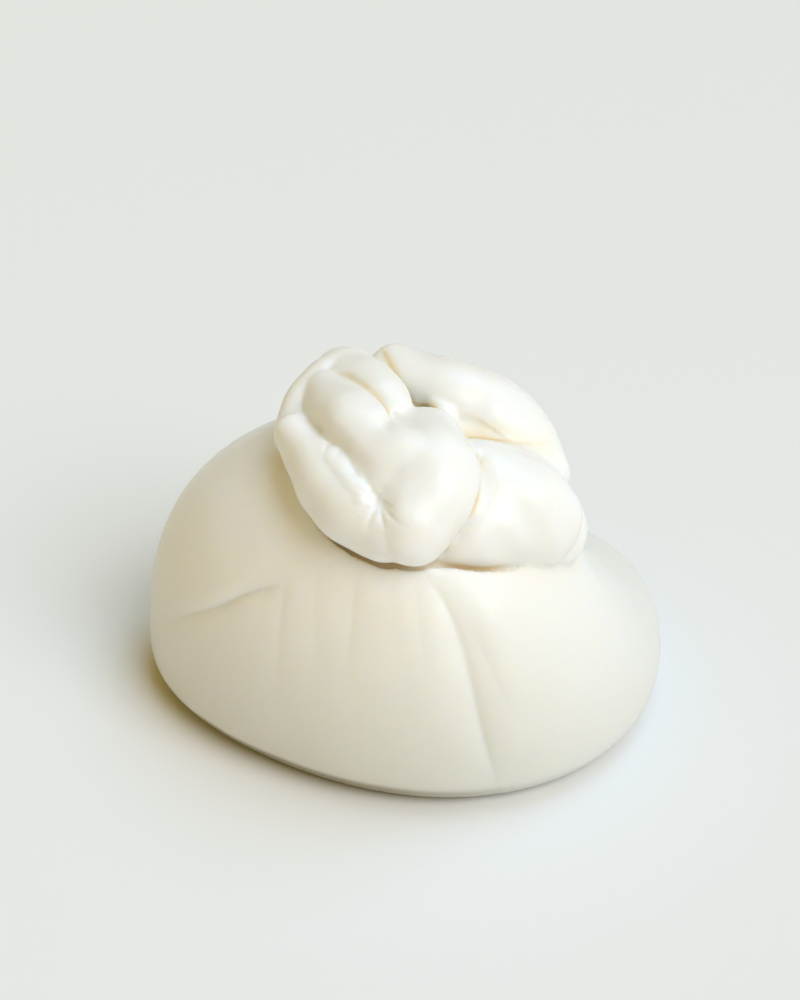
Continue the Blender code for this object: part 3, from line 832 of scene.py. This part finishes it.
seam = KNOT_CREASES["seam"][2]
tree = skin_tree()
creases = []
for index in range(SEAM_WRINKLES):
    share = SEAM_FIRST + SEAM_SPAN * index / (SEAM_WRINKLES - 1)
    here = Vector(along(seam, share)[:3])
    onward = (Vector(along(seam, share + SEAM_LOOK_AHEAD)[:3]) - here).normalized()
    outward = (here - KNOT_HEART).normalized()
    for side in (-1.0, 1.0):
        heading = onward.cross(outward) * side + onward * chance.uniform(*SEAM_LEAN)
        length = chance.uniform(*SEAM_LENGTH)
        path = walk(tree, here, heading, length, chance.uniform(-WRINKLE_CURL, WRINKLE_CURL))
        creases.append(wrinkle(path, chance.uniform(*SEAM_REACH), chance.uniform(*SEAM_DEPTH)))
press_all(burrata, creases)
print("seam wrinkles:", len(creases))

# %% [markdown]
# ## The flat foot
#
# The cheese has settled on the table. Its underside is cut level and closed, and the piece is
# centred as the CAD part is.

# %% Cut and centre
SKIN_FACES = 190000
TABLE_PLANE = {"plane_co": (0, 0, 0), "plane_no": (0, 0, 1)}


def cut_foot(body):
    """Cut the skin off at the table and centre it; returns where its middle was."""
    bm = bmesh.new()
    bm.from_mesh(body.data)
    everything = [*bm.verts, *bm.edges, *bm.faces]
    bmesh.ops.bisect_plane(bm, geom=everything, clear_inner=True, **TABLE_PLANE)
    across = [vert.co.x for vert in bm.verts]
    deep = [vert.co.y for vert in bm.verts]
    middle = Vector(((min(across) + max(across)) / 2, (min(deep) + max(deep)) / 2, 0.0))
    bmesh.ops.translate(bm, verts=bm.verts, vec=-middle)
    bm.to_mesh(body.data)
    bm.free()
    return middle


def close_foot(body):
    """Close the cut with a flat face."""
    bm = bmesh.new()
    bm.from_mesh(body.data)
    bmesh.ops.delete(bm, geom=[vert for vert in bm.verts if not vert.link_faces], context="VERTS")
    rim = [edge for edge in bm.edges if edge.is_boundary]
    for edge in rim:
        for vert in edge.verts:
            vert.co.z = 0.0
    bmesh.ops.holes_fill(bm, edges=rim)
    bmesh.ops.triangulate(bm, faces=bm.faces)
    bm.to_mesh(body.data)
    bm.free()


pouch_middle = cut_foot(burrata)

# Nearly every face still has four corners, so it counts as two triangles.
thin = burrata.modifiers.new("thin", "DECIMATE")
thin.ratio = min(1.0, SKIN_FACES / (2 * len(burrata.data.polygons)))
bake(burrata)
close_foot(burrata)
burrata.data.materials.clear()
burrata.data.materials.append(curd)
burrata.data.shade_smooth()
print("skin:", len(burrata.data.polygons), "triangles")
print("its middle was at, mm:", [round(v / MM, 2) for v in pouch_middle])

# %% [markdown]
# ## Colour map of the skin: painted shade
#
# Light that enters a deep crease bounces many times between cream-coloured walls and comes out a
# warm tan, and that shade is painted into the skin's colour. So each point of the knot looks round
# in many directions and finds how much of its view is blocked by skin close by. Painting by hand
# would do too, but it would have to be done again after every change to the folds.

# %% How shut in each point is
LOOK_RAYS = 20
LOOK_FAR = 7.0
LOOK_LIFT = 0.15
SHUT_ROUNDS = 3

# The knot's lowest point is above this height.
KNOT_LOWEST = 26.0


def spread_directions(count):
    """Directions over the half sphere about +Z, evenly weighted for diffuse light."""
    turn = math.pi * (3.0 - math.sqrt(5.0))
    directions = []
    for index in range(count):
        flat = math.sqrt((index + 0.5) / count)
        spot = Vector((flat * math.cos(turn * index), flat * math.sin(turn * index), 0.0))
        spot.z = math.sqrt(1.0 - flat * flat)
        directions.append(spot)
    return directions


def shut_in(points, normals):
    """Share of its view that near skin takes from each point of the upper skin."""
    tree = skin_tree()
    directions = spread_directions(LOOK_RAYS)
    shut = np.zeros(len(points))
    for index in np.flatnonzero(points[:, 2] > KNOT_LOWEST * MM):
        normal = Vector(normals[index])
        turn = normal.to_track_quat("Z", "Y")
        eye = Vector(points[index]) + normal * LOOK_LIFT * MM
        for direction in directions:
            found = tree.ray_cast(eye, turn @ direction, LOOK_FAR * MM)
            if found[0] is not None:
                shut[index] += 1.0 - found[3] / (LOOK_FAR * MM)
    return shut / LOOK_RAYS


points, edges, normals = read_skin(burrata.data)
shut = relaxed(shut_in(points, normals)[:, None], edges, SHUT_ROUNDS)[:, 0]
print("shut in: mean", round(float(shut.mean()), 3), "most", round(float(shut.max()), 2))

# %% [markdown]
# The sharpest creases also get a thin line of painted tan shade, however shallow they are, which
# fades towards one end of each. A line is followed on the skin, and the nearer a point is to it,
# the more painted shade it has. The points keep the amount as an attribute, which the material
# reads later.

# %% Painted crease shade attribute
# How shut in a point is where the painted shade begins and where it is most, and how much then.
SHUT_LEAST = 0.32
SHUT_MOST = 0.75
SHUT_SHADE = 0.6

# Crease, half width in millimetres, and strength at the crease's first and last station.
CREASE_SHADE_LINES = (
    ("tongue crease", 1.0, 0.1, 0.9),
    ("gap", 1.5, 0.4, 1.0),
    ("band crease", 1.0, 1.0, 0.15),
    ("band crease", 4.0, 0.45, 0.1),
    ("bulb edge", 1.3, 0.7, 0.3),
)


def crease_shade_line(points, stations, half_width, first, last):
    """Strength of a painted line of crease shade at each point."""
    tree = skin_tree()
    strength = np.zeros(len(points))
    for step in range(CREASE_STEPS + 1):
        share = step / CREASE_STEPS
        spot = Vector(along(stations, share)[:3]) * MM - pouch_middle
        place, _, _, _ = tree.find_nearest(spot)
        apart = np.linalg.norm(points - np.array(place), axis=1)
        here = (first + (last - first) * share) * eased(1.0 - apart / (half_width * MM))
        strength = np.maximum(strength, here)
    return strength


# Painted shade: tan in the hollows that are most shut in, and along the sharpest creases.
whey_and_crease_shade = SHUT_SHADE * eased((shut - SHUT_LEAST) / (SHUT_MOST - SHUT_LEAST))
for name, half_width, first, last in CREASE_SHADE_LINES:
    line = crease_shade_line(points, KNOT_CREASES[name][2], half_width, first, last)
    whey_and_crease_shade = np.maximum(whey_and_crease_shade, line)
point_attribute(burrata.data, "whey_and_crease_shade", "FLOAT", whey_and_crease_shade)
print("whey: mean", round(float(whey_and_crease_shade.mean()), 3))

# %% [markdown]
# The knot keeps the plain curd colour, but the pouch gets painted shade, darker the further down
# it is, so each point also stores how low it lies on the pouch.

# %% Painted low shade attribute
# Painted shade on the pouch grows from none at this height, in millimetres, to most at the table;
# the knot gets none.
LOW_POUCH_SHADE_TOP = 40.0
uncentred = points + np.array(pouch_middle)
low_down = np.clip(1.0 - uncentred[:, 2] / (LOW_POUCH_SHADE_TOP * MM), 0.0, 1.0)
below_knot = eased((KNOT_LOWEST * MM - uncentred[:, 2]) / (KNOT_MARGIN * MM))
low_pouch_shade = low_down * np.maximum(below_knot, 1.0 - on_knot(uncentred)[:, 0])
point_attribute(burrata.data, "low_pouch_shade", "FLOAT", low_pouch_shade)
print("cream: mean", round(float(low_pouch_shade.mean()), 3))

# %% [markdown]
# The fuller left side leans over the table, and the narrow gap under it lies in shade, which is
# painted into the skin as a grey strip. That strip is darkest where the skin turns in above the
# table on that side.

# %% Painted foot shade attribute
FOOT_SHADE_TOP = 4.6
FOOT_SHADE_FADE = 1.6

# Direction of the darkest side, and how much is left on the other sides.
FOOT_SHADE_WAY = (-0.75, -0.66, 0.0)
FOOT_SHADE_RIGHT = 0.1

# Painted shade in the low strip, strongest on the left and faint elsewhere.
low_strip = eased((FOOT_SHADE_TOP * MM - points[:, 2]) / (FOOT_SHADE_FADE * MM))
towards = points @ np.array(FOOT_SHADE_WAY) / np.maximum(np.linalg.norm(points[:, :2], axis=1), MM)
foot_shade = low_strip * np.maximum(eased(towards), FOOT_SHADE_RIGHT)
point_attribute(burrata.data, "foot_shade", "FLOAT", foot_shade)
print("seep: mean", round(float(foot_shade.mean()), 3))

# %% [markdown]
# ## Stretched curd, wet with whey
#
# The skin is mozzarella, milk protein and fat that was stretched by hand: nearly white, a little
# warm, and it lets light in for a millimetre or two, red light furthest. That scattering softens
# every shadow, so it matters more than the colour. A thin film of whey lies over the satin skin as
# a coat, and gives soft glints where it turns to the light. Lumps and grain that are too faint for
# the mesh are a bump in both, worked out from their sizes on the cheese.

# %% Colours
def linear(code):
    """An sRGB hex colour as linear red, green, blue and full alpha."""
    parts = [int(code[start:start + 2], 16) / 255 for start in (0, 2, 4)]
    bent = [
        part / 12.92 if part <= 0.04045 else ((part + 0.055) / 1.055) ** 2.4 for part in parts
    ]
    return (*bent, 1.0)


CURD_COLOUR = linear("F9F8F4")
# These three are painted shade: low on the pouch, in the creases, and in the gap above the table.
LOW_POUCH_SHADE_COLOUR = linear("DCDDD9")
CREASE_SHADE_COLOUR = linear("E6C572")
FOOT_SHADE_COLOUR = linear("8F8870")
print("curd, linear:", [round(part, 3) for part in CURD_COLOUR])

# %% [markdown]
# One material covers the whole skin. Its base colour starts as curd, and each attribute then mixes
# in its own painted shade: darker low on the pouch, grey by the table, and tan in the creases.

# %% Material
# Length and height of the two bumps, in millimetres.
FAINT_LUMPS = (4.0, 0.10)
GRAIN = (1.1, 0.02)
BUMP_DETAIL = 2.0

# How far light goes into the curd, in millimetres, and the shares of that for red, green and blue.
SCATTER_DEPTH = 1.8
SCATTER_SHARES = (1.0, 0.85, 0.60)


def blend(tree, first, second, share):
    """Colour that goes from first to second with share."""
    mix = node(tree, "ShaderNodeMix", data_type="RGBA")
    for socket, colour in ((mix.inputs[6], first), (mix.inputs[7], second)):
        if isinstance(colour, bpy.types.NodeSocket):
            tree.links.new(colour, socket)
        else:
            socket.default_value = colour
    tree.links.new(share, mix.inputs[0])
    return mix.outputs[2]


def curd_bump(tree):
    """Lumps of curd, a few millimetres across, under a finer grain."""
    place = node(tree, "ShaderNodeTexCoord").outputs["Object"]
    links = {}
    for length, height in (FAINT_LUMPS, GRAIN):
        settings = {"Scale": 1 / (length * MM), "Detail": BUMP_DETAIL}
        waves = node(tree, "ShaderNodeTexNoise", settings, {"Vector": place})
        links["Height"] = waves.outputs["Fac"]
        bump = node(tree, "ShaderNodeBump", {"Strength": 1.0, "Distance": height * MM}, links)
        links["Normal"] = bump.outputs["Normal"]
    return links["Normal"]


def paint_curd(material):
    """Curd with painted shade from the skin's attributes: low on the pouch, by the table, in
    creases.
    """
    tree = material.node_tree
    tree.nodes.clear()
    low_pouch_shade_in = node(tree, "ShaderNodeAttribute", attribute_name="low_pouch_shade")
    crease_shade_in = node(tree, "ShaderNodeAttribute", attribute_name="whey_and_crease_shade")
    foot_shade_in = node(tree, "ShaderNodeAttribute", attribute_name="foot_shade")
    # Painted shade: darker low on the pouch, grey by the table, tan in the creases.
    skin = blend(tree, CURD_COLOUR, LOW_POUCH_SHADE_COLOUR, low_pouch_shade_in.outputs["Fac"])
    skin = blend(tree, skin, FOOT_SHADE_COLOUR, foot_shade_in.outputs["Fac"])
    skin = blend(tree, skin, CREASE_SHADE_COLOUR, crease_shade_in.outputs["Fac"])
    bump = curd_bump(tree)
    shader = node(tree, "ShaderNodeBsdfPrincipled", {
        "Roughness": 0.40,
        "IOR": 1.36,
        "Subsurface Weight": 1.0,
        "Subsurface Scale": SCATTER_DEPTH * MM,
        "Subsurface Radius": SCATTER_SHARES,
        "Coat Weight": 0.35,
        "Coat Roughness": 0.12,
        "Coat IOR": 1.34,
    }, {"Base Color": skin, "Normal": bump, "Coat Normal": bump})
    node(tree, "ShaderNodeOutputMaterial", links={"Surface": shader.outputs["BSDF"]})


paint_curd(curd)
print("material:", curd.name, "with", len(curd.node_tree.nodes), "nodes")

# %% [markdown]
# ## Table, light and camera
#
# The cheese lies on a matt, pale table. The table is one square, so wide that its far edge never
# shows behind the cheese.

# %% Floor
FLOOR_SIZE = 20000.0
TABLE_COLOUR = linear("EEEFF0")
TABLE_ROUGHNESS = 0.6

half = FLOOR_SIZE * MM / 2
corners = [(-half, -half, 0), (half, -half, 0), (half, half, 0), (-half, half, 0)]
floor_mesh = bpy.data.meshes.new("floor")
floor_mesh.from_pydata(corners, [], [(0, 1, 2, 3)])
floor = bpy.data.objects.new("floor", floor_mesh)
bpy.context.scene.collection.objects.link(floor)
floor_paint = bpy.data.materials.new("matt pale table")
floor_paint.use_nodes = True
floor_shader = floor_paint.node_tree.nodes["Principled BSDF"]
floor_shader.inputs["Base Color"].default_value = TABLE_COLOUR
floor_shader.inputs["Roughness"].default_value = TABLE_ROUGHNESS
floor_mesh.materials.append(floor_paint)
print("floor, mm:", FLOOR_SIZE, "wide")

# %% [markdown]
# A large window at the front right makes one soft light, and the sky high behind the cheese makes
# another. Both are cool, and the room between them is warm, as if its walls were lit by a lamp. So
# what faces the windows is a clean white, and the shadows on the left turn to cream.

# %% Lights
ROOM_COLOUR = (1.0, 0.73, 0.21, 1.0)
ROOM_STRENGTH = 0.44

# Direction round the cheese and height in degrees, strength, and colour.
WINDOWS = {
    "window": (-45, 45, 1.99, (0.804, 0.88, 1.0)),
    "sky behind": (45, 68, 1.5, (0.27, 0.50, 0.80)),
}
WINDOW_SPREAD = math.radians(40)

world = bpy.data.worlds.new("bright room")
world.use_nodes = True
world.node_tree.nodes["Background"].inputs["Color"].default_value = ROOM_COLOUR
world.node_tree.nodes["Background"].inputs["Strength"].default_value = ROOM_STRENGTH
bpy.context.scene.world = world


def soft_light(name, azimuth, elevation, strength, colour):
    """A distant light that is wide across the sky, so its shadows are soft."""
    data = bpy.data.lights.new(name, "SUN")
    data.energy = strength
    data.angle = WINDOW_SPREAD
    data.color = colour
    around, up = math.radians(azimuth), math.radians(elevation)
    level = math.cos(up)
    towards = Vector((math.cos(around) * level, math.sin(around) * level, math.sin(up)))
    lamp = bpy.data.objects.new(name, data)
    lamp.rotation_euler = towards.to_track_quat("Z", "Y").to_euler()
    bpy.context.scene.collection.objects.link(lamp)


for name, (azimuth, elevation, strength, colour) in WINDOWS.items():
    soft_light(name, azimuth, elevation, strength, colour)
print("lights:", list(WINDOWS))

# %% [markdown]
# The camera looks down on the cheese from the front, 40 centimetres away. From so near, the knot
# looks a little larger than it is. A portrait lens is long enough to fill the frame from there.

# %% Camera
CAMERA_DISTANCE = 399.0
CAMERA_ELEVATION = math.radians(33)
TARGET_HEIGHT = 35.5
LENS = 85
SENSOR_WIDTH = 36
CLIP_START = 10.0

target = Vector((-pouch_middle.x, -pouch_middle.y, TARGET_HEIGHT * MM))
back = Vector((0, -math.cos(CAMERA_ELEVATION), math.sin(CAMERA_ELEVATION)))
camera_data = bpy.data.cameras.new("camera")
camera_data.lens = LENS
camera_data.sensor_width = SENSOR_WIDTH
camera_data.clip_start = CLIP_START * MM
camera = bpy.data.objects.new("camera", camera_data)
camera.location = target + back * CAMERA_DISTANCE * MM
camera.rotation_euler = (-back).to_track_quat("-Z", "Y").to_euler()
bpy.context.scene.collection.objects.link(camera)
bpy.context.scene.camera = camera
bpy.context.scene.view_settings.view_transform = "Standard"
print("camera, mm:", [round(v / MM, 1) for v in camera.location])

# %% [markdown]
# ## Hand over
#
# The finished skin rides on the one rigid body, and stands for the plain CAD solid.

# %% Finish
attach(burrata, "root")
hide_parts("burrata")
